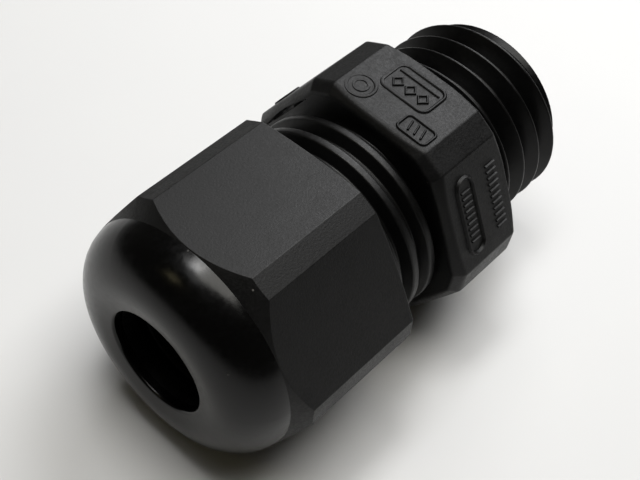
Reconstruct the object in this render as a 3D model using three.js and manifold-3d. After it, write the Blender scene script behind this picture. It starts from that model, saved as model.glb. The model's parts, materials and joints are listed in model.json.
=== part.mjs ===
// Cable gland, size M12 x 1.5, lying on its side on a flat surface.
//
// Millimetres, +Z up. The gland's axis lies along X: the mouth that the cable enters looks
// towards -X, and the mounting thread points towards +X. Lengths along the axis are stations,
// counted from the mounting shoulder, which is the collar's face that seats on an enclosure wall.
// An angle about the axis is 0 at the top and grows towards -Y, so a right-handed thread moves
// towards +X as its angle grows, and the dome nut tightens by turning that way.

import * as THREE from 'three';
import { mergeVertices } from 'three/addons/utils/BufferGeometryUtils.js';
import Module from 'manifold-3d';

const wasm = await Module();
wasm.setup();

const TURN = 2 * Math.PI;
const DEG = Math.PI / 180;

// ---- Driving dimensions ----------------------------------------------------------------

// Spanner hexagons, whose six corners are cut back to narrow flats.
const SPANNER_SIZE = 14.7;
const NUT_ACROSS_CORNER_FLATS = 16.2;
const COLLAR_ACROSS_CORNER_FLATS = 16.06;
const COLLAR_TURNED_FROM_NUT = 4.59 * DEG;

// Mounting thread, M12 x 1.5, and the collar above it.
const MOUNT_THREAD = { pitch: 1.5, crest: 6.0, root: 5.08, crestHalf: 0.1, rootHalf: 0.62 };
const MOUNT_THREAD_END = 7.4;
const MOUNT_THREAD_CHAMFER = 0.8;
const MOUNT_CREST_AT_TOP = 1.53;
const COLLAR_THICKNESS = 5.4;
const COLLAR_EDGE = { along: 0.32, across: 0.4 };
const COLLAR_CORNER_START = 7.5;
const COLLAR_FRONT_CORNER = 0.53;
const COLLAR_REAR_CORNER = 0.17;
const BODY_BORE = 3.9;
const BORE_LEAD_IN = 0.5;

// Cap thread, which the dome nut screws on.
const CAP_THREAD = { pitch: 1.4, crest: 6.5, root: 5.75, crestHalf: 0.18, rootHalf: 0.5 };
const CAP_THREAD_END = -12;
const CAP_THREAD_CHAMFER = 0.5;
const CAP_CREST_AT_TOP = -7.72;
const THREAD_CLEARANCE = 0.11;
const CREST_CLEARANCE = 0.16;

// Clamping fingers, moulded on the end of the cap thread and bent in by the nut's cone.
const FINGER_COUNT = 12;
const FINGER_INSIDE = 4.2;
const FINGER_OUTSIDE = 5.2;
const FINGER_ROOT = -12.3;
const FINGER_TIP = -16.4;
const FINGER_TIP_CHAMFER = 0.25;
const SLIT = 0.75;
const BEND_STATION = -12.15;
const BEND_RADIUS = 4.7;
const BEND_AT_REST = 5 * DEG;

// Dome nut.
const NUT_REAR = -9.52;
const NUT_REAR_CORNER = -9.67;
const DOME_CENTRE = -18.23;
const DOME_CENTRE_RADIUS = 4.41;
const DOME_RADIUS = 2.92;
const RIM = -18.5;
const CROWN_CORNER = -17.6;
const MOUTH_BORE = 3.25;
const MOUTH_EDGE = 0.15;
const NUT_THREAD_BORE = 5.95;
const NUT_THREAD_END = -14.7;
const CONE_START = -14.95;
const CONE_START_RADIUS = 5.34;
const CONE_END = -19.35;
const CONE_END_RADIUS = 4.16;

// Sealing insert, a rubber sleeve between the fingers and the cable.
const SEAL_FRONT = -19.05;
const SEAL_REAR = -13.2;
const SEAL_OUTSIDE = 3.6;
const SEAL_BORE = 3.0;
const SEAL_LEAD_IN = 0.3;

// Facets round the axis: threads and their barrels share one count, so their edges meet.
const THREAD_FACETS = 24;
const ROUND_FACETS = 36;
const FINGER_RING_FACETS = 72;
const DOME_STEPS = 8;

// Room that a cutting solid has past the face that it cuts, and how deep a thread's ridge is
// rooted in its barrel.
const OVERRUN = 1;
const RIDGE_ROOT = 0.3;

// ---- Materials -------------------------------------------------------------------------

const polyamide = { color: 0x1d1d1f, roughness: 0.55, metalness: 0 };
const materials = {
  body: new THREE.MeshStandardMaterial(polyamide),
  nut: new THREE.MeshStandardMaterial({ ...polyamide, color: 0x19191b, roughness: 0.42 }),
  finger: new THREE.MeshStandardMaterial({ ...polyamide, color: 0x222224 }),
  seal: new THREE.MeshStandardMaterial({ color: 0x0e0e0e, roughness: 0.85, metalness: 0 }),
};

// ---- Solids ----------------------------------------------------------------------------

// Signed volume of an indexed geometry, negative where its faces point inwards.
function signedVolume(positions, indices) {
  let sum = 0;
  const corner = [new THREE.Vector3(), new THREE.Vector3(), new THREE.Vector3()];
  for (let i = 0; i < indices.length; i += 3) {
    corner.forEach((v, k) => v.fromArray(positions, 3 * indices[i + k]));
    sum += corner[0].dot(corner[1].cross(corner[2])) / 6;
  }
  return sum;
}

// A manifold solid from a closed three.js geometry.
function solid(geometry) {
  geometry.deleteAttribute('normal');
  geometry.deleteAttribute('uv');
  const merged = mergeVertices(geometry, 1e-5);
  const positions = merged.attributes.position.array;
  const kept = [];
  const source = merged.index.array;
  for (let i = 0; i < source.length; i += 3) {
    const [a, b, c] = [source[i], source[i + 1], source[i + 2]];
    if (a !== b && b !== c && c !== a) {
      kept.push(a, b, c);
    }
  }
  if (signedVolume(positions, kept) < 0) {
    kept.reverse();
  }
  const mesh = new wasm.Mesh({
    numProp: 3,
    vertProperties: new Float32Array(positions),
    triVerts: new Uint32Array(kept),
  });
  return new wasm.Manifold(mesh);
}

// The three.js geometry of a manifold solid, flat-shaded.
function geometryOf(manifold) {
  const mesh = manifold.getMesh();
  const geometry = new THREE.BufferGeometry();
  geometry.setAttribute('position', new THREE.BufferAttribute(mesh.vertProperties.slice(), 3));
  geometry.setIndex(new THREE.BufferAttribute(mesh.triVerts.slice(), 1));
  geometry.computeVertexNormals();
  return geometry;
}

// A solid turned about the gland's axis from a closed outline of [station, radius] points.
// Its first facet edge is at the top.
function turned(outline, facets) {
  const points = outline.map(([station, radius]) => new THREE.Vector2(radius, station));
  points.push(points[0].clone());
  const geometry = new THREE.LatheGeometry(points, facets);
  geometry.rotateZ(-Math.PI / 2);
  geometry.rotateX(Math.PI / 2);
  return solid(geometry);
}

// Half the width of each spanner flat, on a hexagon whose corners are cut to flats.
function flatHalfWidth(acrossFlats, acrossCorners) {
  return acrossCorners - (acrossFlats * Math.sqrt(3)) / 2;
}

// A hexagonal bar whose corners are cut to flats, from one station to another. Its first flat
// is at the top, and edge is the chamfer along the outline of both end faces.
function hexagonBar(acrossFlats, acrossCorners, from, to, edge = { along: 0, across: 0 }) {
  const halfWidth = flatHalfWidth(acrossFlats, acrossCorners);
  const radius = Math.hypot(acrossFlats / 2, halfWidth);
  const half = Math.atan2(halfWidth, acrossFlats / 2);
  const outline = new THREE.Shape();
  for (let flat = 0; flat < 6; flat++) {
    for (const side of [-1, 1]) {
      const angle = (flat * TURN) / 6 + side * half;
      const point = [-radius * Math.cos(angle), -radius * Math.sin(angle)];
      if (flat === 0 && side === -1) {
        outline.moveTo(...point);
      } else {
        outline.lineTo(...point);
      }
    }
  }
  const geometry = new THREE.ExtrudeGeometry(outline, {
    depth: to - from - 2 * edge.along,
    bevelEnabled: edge.along > 0,
    bevelThickness: edge.along,
    bevelSize: edge.across,
    bevelOffset: -edge.across,
    bevelSegments: 1,
  });
  geometry.rotateY(Math.PI / 2);
  geometry.translate(from + edge.along, 0, 0);
  return solid(geometry);
}

// The ridge of a right-handed thread between two stations of its crest. The section is a
// trapezium, grown by clearance on its flanks and by crestGrowth at its crest.
function threadRidge(thread, crestAtTop, from, to, options = {}) {
  const { clearance = 0, crestGrowth = 0 } = options;
  const flank = (thread.rootHalf - thread.crestHalf) / (thread.crest - thread.root);
  const step = TURN / THREAD_FACETS;
  const first = Math.ceil(((from - crestAtTop) / thread.pitch) * THREAD_FACETS);
  const last = Math.floor(((to - crestAtTop) / thread.pitch) * THREAD_FACETS);
  const low = thread.root - RIDGE_ROOT;
  const high = thread.crest + crestGrowth;
  const widthAt = (radius) => thread.crestHalf + flank * (thread.crest - radius) + clearance;
  const section = [
    [-widthAt(low), low],
    [-widthAt(high), high],
    [widthAt(high), high],
    [widthAt(low), low],
  ];
  const positions = [];
  for (let i = first; i <= last; i++) {
    const angle = i * step;
    const station = crestAtTop + (thread.pitch * angle) / TURN;
    for (const [offset, radius] of section) {
      positions.push(station + offset, -radius * Math.sin(angle), radius * Math.cos(angle));
    }
  }
  const rings = last - first + 1;
  const indices = [];
  for (let ring = 0; ring < rings - 1; ring++) {
    for (let k = 0; k < 4; k++) {
      const a = 4 * ring + k;
      const b = 4 * ring + ((k + 1) % 4);
      indices.push(a, b, a + 4, b, b + 4, a + 4);
    }
  }
  const end = 4 * (rings - 1);
  indices.push(0, 2, 1, 0, 3, 2, end, end + 1, end + 2, end, end + 2, end + 3);
  const geometry = new THREE.BufferGeometry();
  geometry.setAttribute('position', new THREE.Float32BufferAttribute(positions, 3));
  geometry.setIndex(indices);
  return solid(geometry);
}

// ---- Pieces ----------------------------------------------------------------------------

// Hexagonal collar: chamfered outline on the face towards the nut, corners eased on both faces.
function collar() {
  const bar = hexagonBar(
    SPANNER_SIZE,
    COLLAR_ACROSS_CORNER_FLATS,
    -COLLAR_THICKNESS,
    OVERRUN,
    COLLAR_EDGE,
  );
  const halfWidth = flatHalfWidth(SPANNER_SIZE, COLLAR_ACROSS_CORNER_FLATS);
  const corner = Math.hypot(SPANNER_SIZE / 2, halfWidth);
  const eased = turned(
    [
      [-COLLAR_THICKNESS - OVERRUN, 0],
      [-COLLAR_THICKNESS - OVERRUN, COLLAR_CORNER_START - COLLAR_EDGE.across],
      [-COLLAR_THICKNESS, COLLAR_CORNER_START - COLLAR_EDGE.across],
      [-COLLAR_THICKNESS + COLLAR_EDGE.along, COLLAR_CORNER_START],
      [-COLLAR_THICKNESS + COLLAR_FRONT_CORNER, corner],
      [-COLLAR_THICKNESS + COLLAR_FRONT_CORNER, corner + OVERRUN],
      [-COLLAR_REAR_CORNER, corner + OVERRUN],
      [-COLLAR_REAR_CORNER, corner],
      [0, COLLAR_CORNER_START],
      [0, 0],
    ],
    ROUND_FACETS,
  );
  return bar.rotate([COLLAR_TURNED_FROM_NUT / DEG, 0, 0]).intersect(eased);
}

// Gland body: mounting thread, hexagonal collar and cap thread in one moulding, bored through.
function glandBody() {
  const inside = BODY_BORE;
  const mountBarrel = turned(
    [
      [-OVERRUN, inside],
      [-OVERRUN, MOUNT_THREAD.root],
      [MOUNT_THREAD_END, MOUNT_THREAD.root],
      [MOUNT_THREAD_END, inside],
    ],
    THREAD_FACETS,
  );
  const mountEnvelope = turned(
    [
      [-OVERRUN, 0],
      [-OVERRUN, MOUNT_THREAD.crest + OVERRUN],
      [MOUNT_THREAD_END - MOUNT_THREAD_CHAMFER - OVERRUN, MOUNT_THREAD.crest + OVERRUN],
      [MOUNT_THREAD_END, MOUNT_THREAD.crest - MOUNT_THREAD_CHAMFER],
      [MOUNT_THREAD_END, 0],
    ],
    THREAD_FACETS,
  );
  const mountThread = threadRidge(
    MOUNT_THREAD,
    MOUNT_CREST_AT_TOP,
    -MOUNT_THREAD.crestHalf,
    MOUNT_THREAD_END + OVERRUN,
  );
  const capBarrel = turned(
    [
      [CAP_THREAD_END, inside],
      [CAP_THREAD_END, CAP_THREAD.root],
      [OVERRUN - COLLAR_THICKNESS, CAP_THREAD.root],
      [OVERRUN - COLLAR_THICKNESS, inside],
    ],
    THREAD_FACETS,
  );
  const capEnvelope = turned(
    [
      [CAP_THREAD_END, 0],
      [CAP_THREAD_END, CAP_THREAD.crest - CAP_THREAD_CHAMFER],
      [CAP_THREAD_END + CAP_THREAD_CHAMFER + OVERRUN, CAP_THREAD.crest + OVERRUN],
      [OVERRUN - COLLAR_THICKNESS, CAP_THREAD.crest + OVERRUN],
      [OVERRUN - COLLAR_THICKNESS, 0],
    ],
    THREAD_FACETS,
  );
  const capThread = threadRidge(
    CAP_THREAD,
    CAP_CREST_AT_TOP,
    CAP_THREAD_END - OVERRUN,
    CAP_THREAD.rootHalf - COLLAR_THICKNESS,
  );
  const bore = turned(
    [
      [CAP_THREAD_END - OVERRUN, 0],
      [CAP_THREAD_END - OVERRUN, inside],
      [MOUNT_THREAD_END - BORE_LEAD_IN, inside],
      [MOUNT_THREAD_END + OVERRUN, inside + BORE_LEAD_IN + OVERRUN],
      [MOUNT_THREAD_END + OVERRUN, 0],
    ],
    THREAD_FACETS,
  );
  const mount = mountBarrel.add(mountThread).intersect(mountEnvelope);
  const cap = capBarrel.add(capThread).intersect(capEnvelope);
  return geometryOf(mount.add(cap).add(collar()).subtract(bore));
}

// Outline of the nut's outside: mouth, dome, crown cone and rear chamfer.
function nutOutline() {
  const lipRadius = MOUTH_BORE + MOUTH_EDGE;
  const lipAngle = Math.asin((DOME_CENTRE_RADIUS - lipRadius) / DOME_RADIUS);
  const rimAngle = Math.asin((RIM - DOME_CENTRE) / DOME_RADIUS);
  const outline = [];
  for (let step = 0; step <= DOME_STEPS; step++) {
    const share = step / DOME_STEPS;
    const angle = -lipAngle + (Math.PI / 2 + lipAngle + rimAngle) * share;
    outline.push([
      DOME_CENTRE - DOME_RADIUS * Math.cos(angle),
      DOME_CENTRE_RADIUS + DOME_RADIUS * Math.sin(angle),
    ]);
  }
  const [rimStation, rimRadius] = outline[outline.length - 1];
  const halfWidth = flatHalfWidth(SPANNER_SIZE, NUT_ACROSS_CORNER_FLATS);
  const corner = Math.hypot(SPANNER_SIZE / 2, halfWidth);
  const crownSlope = (corner - rimRadius) / (CROWN_CORNER - rimStation);
  const rearSlope = (corner - SPANNER_SIZE / 2) / (NUT_REAR - NUT_REAR_CORNER);
  outline.push([CROWN_CORNER + OVERRUN, corner + OVERRUN * crownSlope]);
  outline.push([NUT_REAR_CORNER, corner + OVERRUN * crownSlope]);
  outline.push([NUT_REAR_CORNER, corner]);
  outline.push([NUT_REAR, corner - rearSlope * (NUT_REAR - NUT_REAR_CORNER)]);
  outline.push([NUT_REAR, 0]);
  outline.push([outline[0][0], 0]);
  return outline;
}

// Dome nut: spanner hexagon, domed mouth, internal thread, and the cone that bends the fingers.
function domeNut() {
  const bar = hexagonBar(
    SPANNER_SIZE,
    NUT_ACROSS_CORNER_FLATS,
    DOME_CENTRE - DOME_RADIUS - OVERRUN,
    NUT_REAR + OVERRUN,
  );
  const outside = bar.intersect(turned(nutOutline(), ROUND_FACETS));
  const front = DOME_CENTRE - DOME_RADIUS;
  const lipSlope = 2;
  const cavity = turned(
    [
      [front - OVERRUN, 0],
      [front - OVERRUN, MOUTH_BORE + MOUTH_EDGE],
      [front + lipSlope * MOUTH_EDGE, MOUTH_BORE + MOUTH_EDGE],
      [front + 2 * lipSlope * MOUTH_EDGE, MOUTH_BORE],
      [CONE_END, MOUTH_BORE],
      [CONE_END, CONE_END_RADIUS],
      [CONE_START, CONE_START_RADIUS],
      [CONE_START, 0],
    ],
    ROUND_FACETS,
  );
  const relief = turned(
    [
      [CONE_START - 0.001, 0],
      [CONE_START - 0.001, CAP_THREAD.crest + CREST_CLEARANCE],
      [NUT_THREAD_END, CAP_THREAD.crest + CREST_CLEARANCE],
      [NUT_THREAD_END, NUT_THREAD_BORE],
      [NUT_REAR - CREST_CLEARANCE - 0.5, NUT_THREAD_BORE],
      [NUT_REAR + OVERRUN, CAP_THREAD.crest + CREST_CLEARANCE + OVERRUN],
      [NUT_REAR + OVERRUN, 0],
    ],
    THREAD_FACETS,
  );
  const grooveStart = CONE_START - CAP_THREAD.pitch;
  const groove = threadRidge(CAP_THREAD, CAP_CREST_AT_TOP, grooveStart, NUT_REAR + OVERRUN, {
    clearance: THREAD_CLEARANCE,
    crestGrowth: CREST_CLEARANCE,
  });
  const grooveEnvelope = turned(
    [
      [CONE_START - 0.001, 0],
      [CONE_START - 0.001, CAP_THREAD.crest + OVERRUN],
      [NUT_REAR + 2 * OVERRUN, CAP_THREAD.crest + OVERRUN],
      [NUT_REAR + 2 * OVERRUN, 0],
    ],
    THREAD_FACETS,
  );
  const hollow = cavity.add(relief).add(groove.intersect(grooveEnvelope));
  return geometryOf(outside.subtract(hollow));
}

// One clamping finger at the top, straight: a slice of a ring, between two slits.
function clampingFinger() {
  const ring = turned(
    [
      [FINGER_TIP, FINGER_INSIDE],
      [FINGER_TIP, FINGER_OUTSIDE - FINGER_TIP_CHAMFER],
      [FINGER_TIP + FINGER_TIP_CHAMFER, FINGER_OUTSIDE],
      [FINGER_ROOT, FINGER_OUTSIDE],
      [FINGER_ROOT, FINGER_INSIDE],
    ],
    FINGER_RING_FACETS,
  );
  const half = Math.PI / FINGER_COUNT;
  const apex = SLIT / 2 / Math.sin(half);
  const reach = FINGER_OUTSIDE + OVERRUN;
  const width = (reach - apex) * Math.tan(half);
  const slice = new THREE.Shape();
  slice.moveTo(-apex, 0);
  slice.lineTo(-reach, width);
  slice.lineTo(-reach, -width);
  const geometry = new THREE.ExtrudeGeometry(slice, {
    depth: FINGER_ROOT - FINGER_TIP + 2 * OVERRUN,
    bevelEnabled: false,
  });
  geometry.rotateY(Math.PI / 2);
  geometry.translate(FINGER_TIP - OVERRUN, 0, 0);
  const finger = geometryOf(ring.intersect(solid(geometry)));
  finger.translate(-BEND_STATION, 0, -BEND_RADIUS);
  return finger;
}

// Sealing insert: a sleeve with a lead-in at both ends of its bore.
function sealingInsert() {
  const sleeve = turned(
    [
      [SEAL_FRONT, SEAL_BORE + SEAL_LEAD_IN],
      [SEAL_FRONT, SEAL_OUTSIDE],
      [SEAL_REAR, SEAL_OUTSIDE],
      [SEAL_REAR, SEAL_BORE + SEAL_LEAD_IN],
      [SEAL_REAR - SEAL_LEAD_IN, SEAL_BORE],
      [SEAL_FRONT + SEAL_LEAD_IN, SEAL_BORE],
    ],
    ROUND_FACETS,
  );
  return geometryOf(sleeve);
}

// ---- Assembly --------------------------------------------------------------------------

function piece(name, geometry, material) {
  const mesh = new THREE.Mesh(geometry, material);
  mesh.name = name;
  return mesh;
}

// The nut and the collar are turned from each other, so the gland rests on an edge of each:
// it rolls until both edges are down.
function restingRoll() {
  const nut = flatHalfWidth(SPANNER_SIZE, NUT_ACROSS_CORNER_FLATS);
  const hexagon = flatHalfWidth(SPANNER_SIZE, COLLAR_ACROSS_CORNER_FLATS);
  const roll = (COLLAR_TURNED_FROM_NUT * hexagon) / (nut + hexagon);
  const height = (SPANNER_SIZE / 2) * Math.cos(roll) + nut * Math.sin(roll);
  return { roll, height };
}

const gland = new THREE.Group();
gland.add(piece('gland_body', glandBody(), materials.body));
gland.add(piece('dome_nut', domeNut(), materials.nut));
gland.add(piece('sealing_insert', sealingInsert(), materials.seal));

const fingerGeometry = clampingFinger();
for (let i = 0; i < FINGER_COUNT; i++) {
  const name = `clamping_finger_${String(i + 1).padStart(2, '0')}`;
  const finger = piece(name, fingerGeometry, materials.finger);
  finger.position.set(BEND_STATION, 0, BEND_RADIUS);
  finger.rotation.y = -BEND_AT_REST;
  const around = new THREE.Group();
  around.rotation.x = (i * TURN) / FINGER_COUNT;
  around.add(finger);
  gland.add(around);
}

const { roll, height } = restingRoll();
const middle = (DOME_CENTRE - DOME_RADIUS + MOUNT_THREAD_END) / 2;
gland.rotation.x = -roll;
gland.position.set(-middle, 0, height);

const object = new THREE.Group();
object.add(gland);

export default object;
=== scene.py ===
"""A black plastic cable gland lying on a pale surface.

Lengths in the shape code are millimetres. A station is a distance along the gland's axis from the
mounting shoulder, positive towards the mounting thread. An angle about the axis is 0 at the top and
grows towards -Y. An envelope is a function of station and radius that trims the ends of a thread.
"""

import json
import math

import bmesh
import bpy
from mathutils import Matrix, Vector


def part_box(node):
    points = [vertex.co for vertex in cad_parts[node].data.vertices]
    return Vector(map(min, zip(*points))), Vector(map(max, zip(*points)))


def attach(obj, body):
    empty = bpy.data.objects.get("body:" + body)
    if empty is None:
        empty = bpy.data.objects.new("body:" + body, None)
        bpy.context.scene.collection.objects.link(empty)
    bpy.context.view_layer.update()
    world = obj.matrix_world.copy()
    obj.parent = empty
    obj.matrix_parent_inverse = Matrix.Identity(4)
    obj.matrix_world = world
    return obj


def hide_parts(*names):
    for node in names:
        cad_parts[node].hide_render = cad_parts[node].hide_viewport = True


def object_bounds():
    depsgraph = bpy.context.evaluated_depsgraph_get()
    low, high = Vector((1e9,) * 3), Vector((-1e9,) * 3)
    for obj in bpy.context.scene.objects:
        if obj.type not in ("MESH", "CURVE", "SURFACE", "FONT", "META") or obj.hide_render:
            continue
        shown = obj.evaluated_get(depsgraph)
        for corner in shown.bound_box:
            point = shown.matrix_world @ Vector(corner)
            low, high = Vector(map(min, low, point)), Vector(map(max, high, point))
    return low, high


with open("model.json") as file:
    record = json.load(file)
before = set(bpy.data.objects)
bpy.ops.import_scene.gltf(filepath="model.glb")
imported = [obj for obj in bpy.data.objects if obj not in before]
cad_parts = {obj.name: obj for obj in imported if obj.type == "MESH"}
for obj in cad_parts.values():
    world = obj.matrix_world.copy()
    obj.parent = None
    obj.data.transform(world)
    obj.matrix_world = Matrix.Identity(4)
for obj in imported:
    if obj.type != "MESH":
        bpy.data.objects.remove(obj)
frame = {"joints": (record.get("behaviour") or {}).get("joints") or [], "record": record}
CAD_BOX = [list(corner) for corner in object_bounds()]

MM = 0.001
TURN = 2 * math.pi

# ---- Where the frame says things are -----------------------------------------------------

JOINTS = {joint["name"]: joint for joint in frame["joints"]}
MOUNTS = {mount["name"]: mount for mount in frame["record"]["mounts"]}
SHOULDER = MOUNTS["panel_seat"]["pos_m"][0]
AXIS_HEIGHT = JOINTS["cap_turn"]["pos_m"][2]
CAP_TRAVEL = JOINTS["cap_travel"]["range_m"][1]
CAP_TURNS = JOINTS["cap_turn"]["range_deg"][1] / 360
CAP_PITCH = 1000 * CAP_TRAVEL / CAP_TURNS


def angle_of(mount):
    """How far a spanner flat is turned from the top."""
    normal = MOUNTS[mount]["axis"]
    return math.atan2(-normal[1], normal[2])


NUT_ANGLE = angle_of("nut_spanner_flat")
COLLAR_ANGLE = angle_of("collar_spanner_flat")


def station_of(metres):
    return (metres - SHOULDER) / MM


BODY_LOW, BODY_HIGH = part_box("gland_body")
NUT_LOW, NUT_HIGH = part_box("dome_nut")
CAP_END = station_of(BODY_LOW.x)
MOUNT_END = station_of(BODY_HIGH.x)
NUT_FRONT = station_of(NUT_LOW.x)
NUT_REAR = station_of(NUT_HIGH.x)
SEAL_LOW, SEAL_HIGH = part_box("sealing_insert")

# ---- Shape dimensions, in millimetres ------------------------------------------------------

ACROSS_FLATS = 14.7

# Body: the two threads, the passage through it and the collar.
MOUNT_PITCH = 1.5
MOUNT_CREST_RADIUS, MOUNT_ROOT_RADIUS = 6.0, 5.08
MOUNT_CREST_AT_TOP = 1.53
MOUNT_END_CHAMFER = 0.75
CAP_CREST_RADIUS, CAP_ROOT_RADIUS = 6.5, 5.75
CAP_CREST_AT_TOP = -7.72
CAP_END_RADIUS = 6.0
BODY_BORE = 3.9
BORE_CHAMFER = 0.5
COLLAR_ACROSS_CORNERS = 16.06
COLLAR_FRONT = -5.4
COLLAR_SEAT_RADIUS = 6.9
COLLAR_CHAMFER_LENGTH, COLLAR_CHAMFER_DEPTH = 0.32, 0.4
COLLAR_FACE_INSET = 0.75

# The collar's corners are turned off, more and more between these two radii.
EASED_FROM, EASED_FULL = 7.5, 8.07
SEAT_EASING, FRONT_EASING, DEPTH_EASING, EDGE_EASING = 0.17, 0.21, 0.1, 0.25

# Nut: the hexagon, the dome as an arc about a ring, the mouth, the cone and the inner thread.
NUT_ACROSS_CORNERS = 16.2
NUT_REAR_FLAT = 7.1
NUT_REAR_BEVEL = 0.15
CORNER_RADIUS = 8.128
CORNER_BEHIND_DOME_CENTRE = 0.63
DOME_RADIUS = 2.92
DOME_CENTRE = NUT_FRONT + DOME_RADIUS
DOME_CENTRE_RADIUS = 4.41
DOME_RIM = 0.27
DOME_STEPS = 32
LIP_ANGLE = math.radians(8)
LIP_ROUNDING = 0.22
MOUTH_RADIUS = 3.22
GLOSS_INTO_BORE = 0.6
NUT_THREAD_END = -14.7
RELIEF_RADIUS = 6.72
CONE_START, CONE_END = -14.95, -19.35
CONE_WIDE, CONE_NARROW = 5.34, 4.16
GROOVE_TIP, GROOVE_DEEP = 5.95, 6.66
GROOVE_ENTRY = 0.66

# Sealing sleeve.
SEAL_BORE, SEAL_OUTER, SEAL_NOSE = 3.0, 3.6, 3.2
SEAL_TAPER = 1.5
SEAL_CHAMFER = 0.3
SEAL_LIP = 0.06
SEAL_COLUMNS = 96

# Clamping fingers.
FINGERS = 12
FINGER_INSIDE, FINGER_OUTSIDE = 4.2, 5.2
FINGER_TAPER = 0.27
FINGER_ROOT, FINGER_TIP = -12.3, -16.4
FINGER_TIP_CHAMFER = 0.22
FINGER_EDGE = 0.06
SLIT = 0.75

# Raised marks.
MARK_WIDTH, MARK_HEIGHT, MARK_SUNK = 0.27, 0.1, 0.03

# The order of the materials on the body and the nut.
MATTE, SMOOTH, SLEEK = 0, 1, 2


def point(station, radius, angle):
    """The place of a station, radius and angle, in metres."""
    return Vector(
        (
            SHOULDER + station * MM,
            -radius * math.sin(angle) * MM,
            AXIS_HEIGHT + radius * math.cos(angle) * MM,
        )
    )


def hexagon_columns(across_corners, turned, rounding, per_flat, per_corner, per_round=4):
    """(angle, radius) round a spanner hexagon.

    Its six corners are cut to narrow flats, and the twelve edges that this leaves are rounded. The
    counts say how many steps a flat, a cut corner and a rounded edge have.
    """
    distances = (ACROSS_FLATS / 2, across_corners / 2)
    counts = (per_flat, per_corner)
    step = TURN / 12
    arcs = []
    for side in range(12):
        near = distances[side % 2] - rounding
        far = distances[(side + 1) % 2] - rounding
        along = (far - near * math.cos(step)) / math.sin(step)
        first = turned + side * step
        centre = Vector(
            (
                near * math.cos(first) - along * math.sin(first),
                near * math.sin(first) + along * math.cos(first),
            )
        )
        arc = []
        for k in range(per_round + 1):
            a = first + step * k / per_round
            arc.append(centre + rounding * Vector((math.cos(a), math.sin(a))))
        arcs.append(arc)
    outline = []
    for side in range(12):
        start, end = arcs[side - 1][-1], arcs[side][0]
        between = counts[side % 2]
        outline += [start.lerp(end, k / between) for k in range(1, between)]
        outline += arcs[side]
    return sorted((math.atan2(p.y, p.x) % TURN, p.length) for p in outline)


# A side shorter than this has no curve, and one curve takes at most this share of a side.
SHORTEST = 1e-6
MOST_OF_SIDE = 0.45
THREAD_ROUND_STEPS = 6


def rounded(corners, radii, steps=4):
    """A polyline with each inner corner replaced by a curve of steps + 1 points.

    radii has one radius for each inner corner, and 0 leaves that corner sharp.
    """
    made = [Vector(corners[0])]
    for k in range(1, len(corners) - 1):
        before, here, after = (Vector(corners[i]) for i in (k - 1, k, k + 1))
        radius = radii[k - 1]
        back, on = before - here, after - here
        if radius <= 0 or min(back.length, on.length) < SHORTEST:
            made.append(here)
            continue
        turn = math.pi - back.angle(on)
        reach = min(radius * math.tan(turn / 2), MOST_OF_SIDE * back.length, MOST_OF_SIDE * on.length)
        start, end = here + back.normalized() * reach, here + on.normalized() * reach
        for i in range(steps + 1):
            t = i / steps
            made.append((1 - t) ** 2 * start + 2 * t * (1 - t) * here + t * t * end)
    made.append(Vector(corners[-1]))
    return made


class Thread:
    """A screw thread's section repeated along a helix. Its section is a list of (offset, radius)."""

    def __init__(self, section, pitch, crest_at_top):
        self.section = section
        self.pitch = pitch
        self.crest_at_top = crest_at_top

    def radius(self, station, angle):
        """The section's radius at a place on the helix."""
        u = station - self.crest_at_top - self.pitch * angle / TURN
        u = (u + self.pitch / 2) % self.pitch - self.pitch / 2
        for (u0, r0), (u1, r1) in zip(self.section, self.section[1:]):
            if u <= u1:
                return r0 + (r1 - r0) * max(0.0, u - u0) / (u1 - u0)
        return self.section[-1][1]


def thread_section(pitch, crest, crest_half, root, root_half, crest_round, root_round):
    """A thread's section, half a pitch each side of its crest, with rounded crest and root.

    crest and root are radii. crest_half and root_half say how far from the crest's middle its edge
    and the root's edge are.
    """
    corners = [
        (-pitch / 2, root),
        (-root_half, root),
        (-crest_half, crest),
        (crest_half, crest),
        (root_half, root),
        (pitch / 2, root),
    ]
    rounding = [root_round, crest_round, crest_round, root_round]
    made = rounded(corners, rounding, THREAD_ROUND_STEPS)
    return [(p.x, p.y) for p in made]


# In metres, as the finished meshes are.
JOINED_WITHIN, DEGENERATE_WITHIN = 2e-7, 1e-7
SHARP_ANGLE = math.radians(32)


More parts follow.
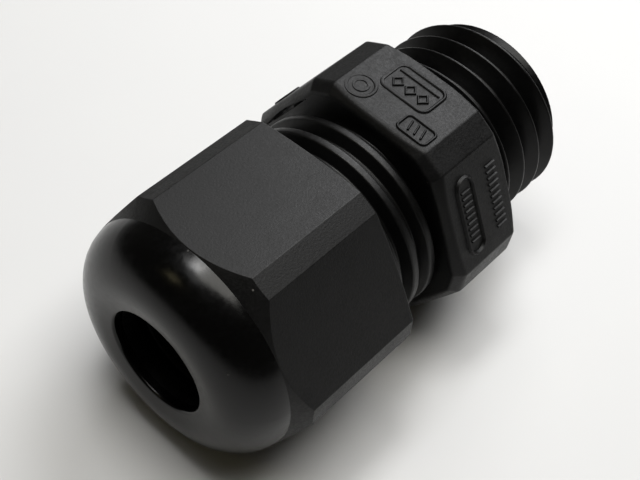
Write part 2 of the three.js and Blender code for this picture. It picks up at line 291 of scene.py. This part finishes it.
class Skin:
    """A closed surface built from rows of points round the axis."""

    def __init__(self, name, columns):
        self.name = name
        self.columns = columns
        self.bm = bmesh.new()

    def rows(self, rows, material, shift=0):
        """Quads between rows of one point per column. shift joins the seam of a helical strip."""
        grid = [[self.bm.verts.new(p) for p in row] for row in rows]
        count = len(self.columns)
        for n in range(len(grid) - 1):
            for j in range(count):
                last = j == count - 1
                m = n + shift if last else n
                if m + 1 >= len(grid):
                    continue
                k = 0 if last else j + 1
                corners = (grid[n][j], grid[n + 1][j], grid[m + 1][k], grid[m][k])
                face = self.bm.faces.new(corners)
                face.material_index = material

    def profile(self, outline_of, material):
        """Rows from outline_of(angle, radius), which gives each column's [(station, radius)]."""
        outlines = [(outline_of(a, r), a) for a, r in self.columns]
        length = len(outlines[0][0])
        rows = [[point(o[k][0], o[k][1], a) for o, a in outlines] for k in range(length)]
        self.rows(rows, material)

    def thread(self, thread, start, end, material, envelope):
        """A thread between two stations, as one helical strip with a few spare turns at each end."""
        offsets = [u for u, _ in thread.section[:-1]]
        first = math.floor((start - thread.crest_at_top) / thread.pitch) - 3
        last = math.ceil((end - thread.crest_at_top) / thread.pitch) + 2
        rows = []
        for turn in range(first, last + 1):
            for u in offsets:
                row = []
                for angle, _ in self.columns:
                    helix = thread.crest_at_top + thread.pitch * (angle / TURN + turn)
                    station = min(max(helix + u, start), end)
                    radius = envelope(station, thread.radius(station, angle))
                    row.append(point(station, radius, angle))
                rows.append(row)
        self.rows(rows, material, shift=len(offsets))

    def finish(self, materials):
        """Joins coincident points, which also removes a thread's spare turns, and makes the object."""
        bmesh.ops.remove_doubles(self.bm, verts=self.bm.verts, dist=JOINED_WITHIN)
        bmesh.ops.dissolve_degenerate(self.bm, edges=self.bm.edges, dist=DEGENERATE_WITHIN)
        loose = [v for v in self.bm.verts if not v.link_faces]
        bmesh.ops.delete(self.bm, geom=loose, context="VERTS")
        return make_object(self.name, self.bm, materials)


def make_object(name, bm, materials):
    """A smooth-shaded object with sharp edges at its corners."""
    bmesh.ops.recalc_face_normals(bm, faces=bm.faces)
    mesh = bpy.data.meshes.new(name)
    bm.to_mesh(mesh)
    bm.free()
    for material in materials:
        mesh.materials.append(material)
    mesh.shade_smooth()
    mesh.set_sharp_from_angle(angle=SHARP_ANGLE)
    made = bpy.data.objects.new(name, mesh)
    bpy.context.scene.collection.objects.link(made)
    return made


def flatten_shading(made):
    """Lets a matte side's flat faces set its shading, so that its rounded edges don't tint them."""
    sides = made.vertex_groups.new(name="matte_sides")
    for face in made.data.polygons:
        if face.material_index == MATTE:
            sides.add(list(face.vertices), 1, "REPLACE")
    weighted = made.modifiers.new("flat_faces_first", "WEIGHTED_NORMAL")
    weighted.weight = 60
    weighted.keep_sharp = True
    weighted.vertex_group = sides.name


# ---- Materials -----------------------------------------------------------------------------


DUST = (0.3, 0.29, 0.27)
WAVE_DEPTH = 0.003


def plastic(name, colour, roughness, grain, grain_depth, gloss_spread=0.04, index=1.36, dusty=0.0):
    """Moulded black plastic: a fine grain, slow mottling, uneven gloss and a few specks of dust.

    grain is the width of one grain and grain_depth its height, in millimetres. dusty is how much of
    the dust's colour a speck has.
    """
    material = bpy.data.materials.new(name)
    material.use_nodes = True
    nodes, links = material.node_tree.nodes, material.node_tree.links
    shader = nodes["Principled BSDF"]
    shader.inputs["IOR"].default_value = index

    place = nodes.new("ShaderNodeTexCoord")
    to_mm = nodes.new("ShaderNodeMapping")
    to_mm.inputs["Scale"].default_value = (1 / MM,) * 3
    links.new(place.outputs["Object"], to_mm.inputs["Vector"])

    def noise(scale, detail, rough=0.5):
        made = nodes.new("ShaderNodeTexNoise")
        made.inputs["Scale"].default_value = scale
        made.inputs["Detail"].default_value = detail
        made.inputs["Roughness"].default_value = rough
        links.new(to_mm.outputs["Vector"], made.inputs["Vector"])
        return made.outputs["Fac"]

    def mapped(value, low, high, to_low, to_high):
        made = nodes.new("ShaderNodeMapRange")
        made.inputs["From Min"].default_value = low
        made.inputs["From Max"].default_value = high
        made.inputs["To Min"].default_value = to_low
        made.inputs["To Max"].default_value = to_high
        links.new(value, made.inputs["Value"])
        return made.outputs["Result"]

    def mixed(factor, first, second):
        made = nodes.new("ShaderNodeMix")
        made.data_type = "RGBA"
        for socket, value in (("A", first), ("B", second)):
            if isinstance(value, tuple):
                made.inputs[socket].default_value = (*value, 1)
            else:
                links.new(value, made.inputs[socket])
        links.new(factor, made.inputs["Factor"])
        return made.outputs["Result"]

    def bumps(height, depth):
        made = nodes.new("ShaderNodeBump")
        made.inputs["Distance"].default_value = depth * MM
        made.inputs["Strength"].default_value = 1
        links.new(height, made.inputs["Height"])
        return made

    def added(first, second):
        made = nodes.new("ShaderNodeMath")
        made.operation = "ADD"
        links.new(first, made.inputs[0])
        links.new(second, made.inputs[1])
        return made.outputs[0]

    # Colour: slow mottling over the grain, and specks of dust.
    mottling = mapped(noise(0.45, 3), 0.3, 0.7, 0, 0.5)
    speckle = mapped(noise(1 / grain, 2), 0.35, 0.65, 0, 0.5)
    darker, lighter = (tuple(share * c for c in colour) for share in (0.6, 1.5))
    tint = mixed(added(mottling, speckle), darker, lighter)
    specks = nodes.new("ShaderNodeTexVoronoi")
    specks.inputs["Scale"].default_value = 0.55
    links.new(to_mm.outputs["Vector"], specks.inputs["Vector"])
    on_speck = mapped(specks.outputs["Distance"], 0.02, 0.035, dusty, 0)
    links.new(mixed(on_speck, tint, DUST), shader.inputs["Base Color"])

    # Gloss: uneven, with handling marks, and broken up by the grain.
    least, most = roughness - gloss_spread, roughness + gloss_spread
    slow = mapped(noise(0.8, 4, 0.6), 0.3, 0.7, least, most)
    fine_spread = 1.5 * gloss_spread
    fine = mapped(noise(0.8 / grain, 2), 0.35, 0.65, -fine_spread, fine_spread)
    links.new(added(slow, fine), shader.inputs["Roughness"])

    # Relief: the grain, and slow waviness of the moulding.
    grains = bumps(noise(1 / grain, 3, 0.6), grain_depth)
    waves = bumps(noise(0.9, 2), WAVE_DEPTH)
    links.new(grains.outputs["Normal"], waves.inputs["Normal"])
    links.new(waves.outputs["Normal"], shader.inputs["Normal"])
    return material


BLACK = (0.0026, 0.0026, 0.0027)
DEEP_BLACK = (0.0014, 0.0014, 0.0015)
SLEEK_BLACK = (0.002, 0.002, 0.0021)
RUBBER_BLACK = (0.001, 0.001, 0.001)

eroded = plastic(
    "eroded_black_collar", BLACK, roughness=0.46, grain=0.12, grain_depth=0.011, index=1.32, dusty=0.4
)
eroded_nut = plastic(
    "eroded_black_nut", BLACK, roughness=0.48, grain=0.12, grain_depth=0.011, dusty=0.4
)
glossy = plastic(
    "glossy_black_dome",
    DEEP_BLACK,
    roughness=0.22,
    grain=0.25,
    grain_depth=0.0006,
    gloss_spread=0.02,
    dusty=0.15,
)
satin = plastic(
    "satin_black_thread", DEEP_BLACK, roughness=0.42, grain=0.15, grain_depth=0.002, gloss_spread=0.03
)
sleek = plastic(
    "sleek_black_thread",
    SLEEK_BLACK,
    roughness=0.34,
    grain=0.2,
    grain_depth=0.001,
    gloss_spread=0.03,
    index=1.31,
)
rubber = plastic(
    "black_sealing_rubber", RUBBER_BLACK, roughness=0.75, grain=0.07, grain_depth=0.004, index=1.25
)

# ---- Gland body ----------------------------------------------------------------------------


def eased(radius, amount):
    """How much of an amount is turned off the collar at a radius: all of it at its corners."""
    return amount * max(0.0, radius - EASED_FROM) / (EASED_FULL - EASED_FROM)


def build_body():
    columns = hexagon_columns(
        COLLAR_ACROSS_CORNERS, COLLAR_ANGLE, rounding=0.3, per_flat=10, per_corner=6
    )
    skin = Skin("gland_body_moulding", columns)
    mount_section = thread_section(
        MOUNT_PITCH,
        crest=MOUNT_CREST_RADIUS,
        crest_half=0.06,
        root=MOUNT_ROOT_RADIUS,
        root_half=0.6,
        crest_round=0.12,
        root_round=0.16,
    )
    mount_thread = Thread(mount_section, MOUNT_PITCH, MOUNT_CREST_AT_TOP)
    cap_section = thread_section(
        CAP_PITCH,
        crest=CAP_CREST_RADIUS,
        crest_half=0.23,
        root=CAP_ROOT_RADIUS,
        root_half=0.5,
        crest_round=0.17,
        root_round=0.12,
    )
    cap_thread = Thread(cap_section, CAP_PITCH, CAP_CREST_AT_TOP)
    mount_chamfer = MOUNT_END - MOUNT_END_CHAMFER

    def mount_trim(station, radius):
        return min(radius, MOUNT_CREST_RADIUS - max(0.0, station - mount_chamfer))

    def cap_trim(station, radius):
        return min(radius, CAP_END_RADIUS + max(0.0, station - CAP_END))

    def end_face(angle, _):
        rim = mount_trim(MOUNT_END, mount_thread.radius(MOUNT_END, angle))
        return rounded(
            [
                (CAP_END, BODY_BORE),
                (MOUNT_END - BORE_CHAMFER, BODY_BORE),
                (MOUNT_END, BODY_BORE + BORE_CHAMFER),
                (MOUNT_END, rim),
            ],
            [0.1, 0.08],
        )

    def collar(angle, radius):
        low = mount_thread.radius(0, angle)
        front = COLLAR_FRONT + COLLAR_CHAMFER_LENGTH + eased(radius, FRONT_EASING)
        chamfered = radius - COLLAR_CHAMFER_DEPTH - eased(radius, DEPTH_EASING)
        return rounded(
            [
                (0, low),
                (0, COLLAR_SEAT_RADIUS),
                (-eased(radius, SEAT_EASING), radius),
                (front, radius),
                (COLLAR_FRONT, chamfered),
                (COLLAR_FRONT, radius - COLLAR_FACE_INSET),
            ],
            [0, 0.1 + eased(radius, EDGE_EASING), 0.5, 0.4],
            steps=6,
        )

    def collar_face(angle, radius):
        foot = cap_thread.radius(COLLAR_FRONT, angle)
        across = (radius - COLLAR_FACE_INSET, 0.5 * (radius + foot), foot)
        return [(COLLAR_FRONT, place) for place in across]

    def cap_face(angle, _):
        rim = cap_trim(CAP_END, cap_thread.radius(CAP_END, angle))
        across = (rim, 0.5 * (rim + BODY_BORE), BODY_BORE)
        return rounded([(CAP_END, place) for place in across], [0])

    skin.profile(end_face, SMOOTH)
    skin.thread(mount_thread, 0, MOUNT_END, SLEEK, mount_trim)
    skin.profile(collar, MATTE)
    skin.profile(collar_face, SMOOTH)
    skin.thread(cap_thread, CAP_END, COLLAR_FRONT, SMOOTH, cap_trim)
    skin.profile(cap_face, SMOOTH)
    made = skin.finish([eroded, satin, sleek])
    flatten_shading(made)
    return made


# ---- Dome nut ------------------------------------------------------------------------------


def on_dome(angle):
    """(station, radius) on the dome's arc, from 0 at its widest to a quarter turn at its front."""
    return (
        DOME_CENTRE - DOME_RADIUS * math.sin(angle),
        DOME_CENTRE_RADIUS + DOME_RADIUS * math.cos(angle),
    )


def build_nut():
    columns = hexagon_columns(NUT_ACROSS_CORNERS, NUT_ANGLE, rounding=0.12, per_flat=10, per_corner=6)
    skin = Skin("dome_nut_moulding", columns)
    groove_section = [
        (-0.7, GROOVE_TIP),
        (-0.525, GROOVE_TIP),
        (-0.222, GROOVE_DEEP),
        (0.222, GROOVE_DEEP),
        (0.525, GROOVE_TIP),
        (0.7, GROOVE_TIP),
    ]
    groove = Thread(groove_section, CAP_PITCH, CAP_CREST_AT_TOP)
    rim = math.asin(DOME_RIM / DOME_RADIUS)
    rim_station, rim_radius = on_dome(rim)
    corner_station = DOME_CENTRE + CORNER_BEHIND_DOME_CENTRE
    lip = math.pi / 2 + LIP_ANGLE
    lip_station, lip_radius = on_dome(lip)
    mouth_edge = lip_station + (lip_radius - MOUTH_RADIUS) * math.tan(LIP_ANGLE)
    bore_start = mouth_edge + GLOSS_INTO_BORE

    def crown(radius):
        """Where the turned end of the hexagon is at a radius: on a cone from the dome's rim."""
        share = (radius - rim_radius) / (CORNER_RADIUS - rim_radius)
        return rim_station + share * (corner_station - rim_station)

    def rear_mouth(station, radius):
        return max(radius, GROOVE_TIP + max(0.0, station - (NUT_REAR - GROOVE_ENTRY)))

    def outside(angle, radius):
        entry = rear_mouth(NUT_REAR, groove.radius(NUT_REAR, angle))
        flat = ACROSS_FLATS / 2
        back = NUT_REAR - NUT_REAR_BEVEL * (radius - flat) / (CORNER_RADIUS - flat)
        return rounded(
            [
                (NUT_REAR, entry),
                (NUT_REAR, NUT_REAR_FLAT),
                (back, radius),
                (crown(radius), radius),
                (rim_station, rim_radius),
            ],
            [0, 0.1, 0.09],
            steps=8,
        )

    def dome(*_):
        arc = [on_dome(rim + (lip - rim) * k / DOME_STEPS) for k in range(DOME_STEPS + 1)]
        corners = [(lip_station, lip_radius), (mouth_edge, MOUTH_RADIUS), (bore_start, MOUTH_RADIUS)]
        edge = rounded(corners, [LIP_ROUNDING], steps=8)
        return [*arc, *[(p.x, p.y) for p in edge[1:]]]

    def inside(angle, _):
        foot = groove.radius(NUT_THREAD_END, angle)
        return rounded(
            [
                (bore_start, MOUTH_RADIUS),
                (CONE_END, MOUTH_RADIUS),
                (CONE_END, CONE_NARROW),
                (CONE_START, CONE_WIDE),
                (CONE_START, RELIEF_RADIUS),
                (NUT_THREAD_END, RELIEF_RADIUS),
                (NUT_THREAD_END, foot),
            ],
            [0.1, 0.1, 0, 0.06, 0],
        )

    skin.profile(outside, MATTE)
    skin.profile(dome, SLEEK)
    skin.profile(inside, SMOOTH)
    skin.thread(groove, NUT_THREAD_END, NUT_REAR, SMOOTH, rear_mouth)
    made = skin.finish([eroded_nut, satin, glossy])
    flatten_shading(made)
    return made


# ---- Sealing insert and fingers --------------------------------------------------------------


def build_seal():
    """A sleeve whose front end is tapered, so that the closing fingers clear it."""
    columns = [(TURN * k / SEAL_COLUMNS, 0) for k in range(SEAL_COLUMNS)]
    skin = Skin("sealing_sleeve", columns)
    front, back = station_of(SEAL_LOW.x), station_of(SEAL_HIGH.x)
    in_the_bore = (back - 2, SEAL_BORE)

    def sleeve(*_):
        """The sleeve's closed outline, which starts and ends in its bore."""
        return rounded(
            [
                in_the_bore,
                (back - SEAL_CHAMFER, SEAL_BORE),
                (back, SEAL_BORE + SEAL_CHAMFER),
                (back, SEAL_OUTER),
                (front + SEAL_TAPER, SEAL_OUTER),
                (front, SEAL_NOSE),
                (front, SEAL_BORE + SEAL_LIP),
                (front + SEAL_LIP, SEAL_BORE),
                in_the_bore,
            ],
            [0.1, 0.05, 0.15, 0.4, 0.06, 0, 0],
        )

    skin.profile(sleeve, 0)
    return skin.finish([rubber])


def build_finger(number):
    """A slice of a ring between two slits, thinner at its tip, bent in as the nut's cone holds it.

    The lower limit of the finger's joint is the straight finger. Its axis is square to the finger's
    middle.
    """
    joint = JOINTS[f"finger_bend_{number:02d}"]
    axis = Vector(joint["axis"])
    bend = math.radians(-joint["range_deg"][0])
    middle = math.atan2(axis.z, axis.y) + math.pi
    bm = bmesh.new()
    rings = []
    across, along = 8, 10
    for k in range(along + 1):
        station = FINGER_ROOT + (FINGER_TIP - FINGER_ROOT) * k / along
        outside = FINGER_OUTSIDE - FINGER_TIP_CHAMFER * max(0.0, k - along + 1)
        inside = FINGER_INSIDE + FINGER_TAPER * k / along
        ring = []
        for radius, order in ((outside, 1), (inside, -1)):
            half = TURN / FINGERS / 2 - math.asin(SLIT / 2 / radius)
            for i in range(across + 1)[::order]:
                angle = middle + half * (2 * i / across - 1)
                ring.append(bm.verts.new(point(station, radius, angle)))
        rings.append(ring)
    for a, b in zip(rings, rings[1:]):
        for i in range(len(a)):
            j = (i + 1) % len(a)
            bm.faces.new((a[i], a[j], b[j], b[i]))
    bm.faces.new(rings[0])
    bm.faces.new(rings[-1])
    to_hinge = Matrix.Translation(Vector(joint["pos_m"]))
    bm.transform(to_hinge @ Matrix.Rotation(bend, 4, axis) @ to_hinge.inverted())
    made = make_object(f"finger_{number:02d}", bm, [satin])
    bevel = made.modifiers.new("moulded_edges", "BEVEL")
    bevel.width, bevel.segments, bevel.limit_method = FINGER_EDGE * MM, 2, "ANGLE"
    flatten_shading(made)
    return made


# ---- Raised marks on the collar ----------------------------------------------------------------


def build_marks():
    """Plain raised shapes, moulded on three of the collar's flats. Flat 0 is the top one."""
    bm = bmesh.new()
    top = CAD_BOX[1][2] / MM - AXIS_HEIGHT / MM

    def on_flat(flat, along, across, rise):
        """A place on a flat. On the top one it stays below the highest edge of the gland."""
        angle = COLLAR_ANGLE + flat * TURN / 6
        if flat == 0:
            highest = (top + across * math.sin(angle)) / math.cos(angle)
            rise = min(rise, highest - ACROSS_FLATS / 2)
        away = ACROSS_FLATS / 2 + rise
        return Vector(
            (
                SHOULDER + along * MM,
                (-away * math.sin(angle) - across * math.cos(angle)) * MM,
                AXIS_HEIGHT + (away * math.cos(angle) - across * math.sin(angle)) * MM,
            )
        )

    def ridge(flat, path, closed=False, wide=MARK_WIDTH, high=MARK_HEIGHT):
        """A low rounded ridge along a path of (station, distance across the flat)."""
        count = len(path)
        section = [
            (-0.5, -MARK_SUNK),
            (-0.33, 0.55 * high),
            (-0.12, high),
            (0.12, high),
            (0.33, 0.55 * high),
            (0.5, -MARK_SUNK),
        ]
        rings = []
        for i, here in enumerate(path):
            here = Vector(here)
            before = Vector(path[i - 1]) if closed or i > 0 else here
            after = Vector(path[(i + 1) % count]) if closed or i < count - 1 else here
            arriving, leaving = here - before, after - here
            into = (arriving if arriving.length else leaving).normalized()
            out = leaving.normalized() if leaving.length else into
            heading = (into + out).normalized()
            side = Vector((-heading.y, heading.x)) / max(0.5, heading.dot(into))
            spots = [(here + side * s * wide, rise) for s, rise in section]
            rings.append([bm.verts.new(on_flat(flat, spot.x, spot.y, rise)) for spot, rise in spots])
        following = rings[1:] + rings[:1] if closed else rings[1:]
        for a, b in zip(rings, following):
            for k in range(len(section)):
                m = (k + 1) % len(section)
                bm.faces.new((a[k], a[m], b[m], b[k]))
        if not closed:
            bm.faces.new(rings[0])
            bm.faces.new(rings[-1])

    def box(centre, size, radius, steps=5):
        """A rounded box's outline. size is (along the axis, across the flat)."""
        made = []
        for quarter, (x, y) in enumerate(((1, 1), (-1, 1), (-1, -1), (1, -1))):
            for k in range(steps + 1):
                a = TURN * (quarter + k / steps) / 4
                made.append(
                    (
                        centre[0] + x * (size[0] / 2 - radius) + radius * math.cos(a),
                        centre[1] + y * (size[1] / 2 - radius) + radius * math.sin(a),
                    )
                )
        return made

    def ring(flat, centre, radius, wide=MARK_WIDTH):
        outline = box(centre, (2 * radius, 2 * radius), radius, steps=10)
        ridge(flat, outline, closed=True, wide=wide)

    def bars(flat, stations, count, first, spread, wide):
        """A row of straight ridges between two stations, spread across the flat."""
        for k in range(count):
            across = first + spread * k / (count - 1)
            ridge(flat, [(stations[0], across), (stations[1], across)], wide=wide)

    # Top flat: a ring in a ring, a plate with a bar and three diamonds, a box with three strokes.
    ring(0, (-3.85, -2.2), 0.84)
    ring(0, (-3.85, -2.2), 0.42, 0.2)
    ridge(0, box((-1.8, -0.1), (2.2, 3.3), 0.5), closed=True)
    ridge(0, [(-1.25, -1.5), (-1.25, 1.3)], wide=0.2)
    for across in (-1, -0.1, 0.8):
        middle, long_half, wide_half = -2.07, 0.4, 0.34
        diamond = [
            (middle + long_half, across),
            (middle, across + wide_half),
            (middle - long_half, across),
            (middle, across - wide_half),
        ]
        ridge(0, diamond, closed=True, wide=0.17)
    ridge(0, box((-4.05, 2), (1.25, 2), 0.3), closed=True, wide=0.22)
    for across in (1.55, 2, 2.45):
        ridge(0, [(-4.4, across + 0.1), (-3.7, across - 0.1)], wide=0.17)
    # The flat nearer the viewer: a long oval round a row of bars, and a second row.
    ridge(1, box((-3.45, 0.1), (1.3, 4.9), 0.64), closed=True, high=0.16)
    bars(1, (-3.8, -3.1), count=9, first=-1.5, spread=3.2, wide=0.16)
    bars(1, (-1.55, -0.75), count=11, first=-1.9, spread=4.0, wide=0.17)
    # The flat beyond the top one: a ring in a ring.
    ring(-1, (-3.75, -1.6), 0.8)
    ring(-1, (-3.75, -1.6), 0.35, 0.15)
    return make_object("collar_marks", bm, [eroded])


# ---- Assembly ----------------------------------------------------------------------------------


def put(piece, body, slot, *nodes):
    """Fixes a piece to its body and hides the CAD nodes that it stands for. Its material slot is not
    used.
    """
    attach(piece, body)
    if nodes:
        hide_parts(*nodes)


put(build_body(), "gland_body", "body", "gland_body")
put(build_marks(), "gland_body", "body")
put(build_nut(), "dome_nut", "nut", "dome_nut")
put(build_seal(), "sealing_insert", "seal", "sealing_insert")
for finger in range(1, FINGERS + 1):
    name = f"clamping_finger_{finger:02d}"
    put(build_finger(finger), name, "fingers", name)

# ---- Floor, light and camera ---------------------------------------------------------------------


FLOOR_HALF_WIDTH = 2.5
FLOOR_TINTS = ((0.62, 0.62, 0.625, 1), (0.66, 0.66, 0.655, 1))
PANEL_DISTANCE = 0.2
ROOM_TINT, ROOM_STRENGTH = (1, 0.92, 0.72, 1), 0.03
COOL_WHITE = (0.98, 0.985, 1)

CAMERA_PLACE = (-36.313, -24.855, 61.225)
CAMERA_AZIMUTH, CAMERA_ELEVATION, CAMERA_ROLL = -54.715, 51.829, 9.073
CAMERA_LENS, CAMERA_SENSOR = 67.34, 36
CAMERA_NEAREST = 0.005


def build_floor():
    bm = bmesh.new()
    bmesh.ops.create_grid(bm, x_segments=8, y_segments=8, size=FLOOR_HALF_WIDTH)
    floor = make_object("floor", bm, [])
    material = bpy.data.materials.new("pale_surface")
    material.use_nodes = True
    nodes, links = material.node_tree.nodes, material.node_tree.links
    shader = nodes["Principled BSDF"]
    shader.inputs["Roughness"].default_value = 0.6
    place = nodes.new("ShaderNodeTexCoord")
    fleck = nodes.new("ShaderNodeTexNoise")
    fleck.inputs["Scale"].default_value = 45
    fleck.inputs["Detail"].default_value = 4
    tint = nodes.new("ShaderNodeMix")
    tint.data_type = "RGBA"
    tint.inputs["A"].default_value, tint.inputs["B"].default_value = FLOOR_TINTS
    links.new(place.outputs["Object"], fleck.inputs["Vector"])
    links.new(fleck.outputs["Fac"], tint.inputs["Factor"])
    links.new(tint.outputs["Result"], shader.inputs["Base Color"])
    floor.data.materials.append(material)


def soft_light(name, azimuth, elevation, spread, radiance, colour=(1, 1, 1)):
    """A soft panel aimed at the gland. spread is how wide and high it looks from there, in degrees."""
    turn, rise = math.radians(azimuth), math.radians(elevation)
    level = math.cos(rise)
    away = Vector((math.cos(turn) * level, math.sin(turn) * level, math.sin(rise)))
    light = bpy.data.lights.new(name, "AREA")
    light.shape = "RECTANGLE"
    light.size, light.size_y = (
        2 * PANEL_DISTANCE * math.tan(math.radians(angle) / 2) for angle in spread
    )
    light.energy = math.pi * light.size * light.size_y * radiance
    light.color = colour
    made = bpy.data.objects.new(name, light)
    bpy.context.scene.collection.objects.link(made)
    made.location = away * PANEL_DISTANCE
    made.rotation_mode = "QUATERNION"
    made.rotation_quaternion = (-away).to_track_quat("-Z", "Y")


def build_light():
    """Light from overhead and from the side beyond the gland."""
    soft_light("overhead", -60, 84, (26, 38), 4.5, (1, 0.98, 0.92))
    soft_light("overhead_lamp", 88, 77, (24, 11), 11.5)
    soft_light("overhead_edge", 155, 68, (14, 12), 1.2)
    soft_light("warm_lamp", 152, 42, (3, 8), 6, (1, 0.88, 0.5))
    soft_light("beyond_high", 0, 58, (36, 26), 4.7, COOL_WHITE)
    soft_light("beyond", 22, 38, (34, 24), 5.3, COOL_WHITE)
    world = bpy.data.worlds.new("soft_room")
    world.use_nodes = True
    background = world.node_tree.nodes["Background"]
    background.inputs["Color"].default_value = ROOM_TINT
    background.inputs["Strength"].default_value = ROOM_STRENGTH
    bpy.context.scene.world = world
    bpy.context.scene.view_settings.view_transform = "Standard"


def build_camera():
    """Above the mouth and to its right, looking down along the gland, and slightly rolled."""
    azimuth, elevation, roll = (
        math.radians(angle) for angle in (CAMERA_AZIMUTH, CAMERA_ELEVATION, CAMERA_ROLL)
    )
    location = Vector(CAMERA_PLACE) * MM
    camera = bpy.data.cameras.new("camera")
    camera.sensor_width = CAMERA_SENSOR
    camera.lens = CAMERA_LENS
    camera.clip_start = CAMERA_NEAREST
    made = bpy.data.objects.new("camera", camera)
    bpy.context.scene.collection.objects.link(made)
    made.matrix_world = (
        Matrix.Translation(location)
        @ Matrix.Rotation(azimuth, 4, "Z")
        @ Matrix.Rotation(math.pi / 2 - elevation, 4, "X")
        @ Matrix.Rotation(roll, 4, "Z")
    )
    bpy.context.scene.camera = made


build_floor()
build_light()
build_camera()

bpy.context.view_layer.update()
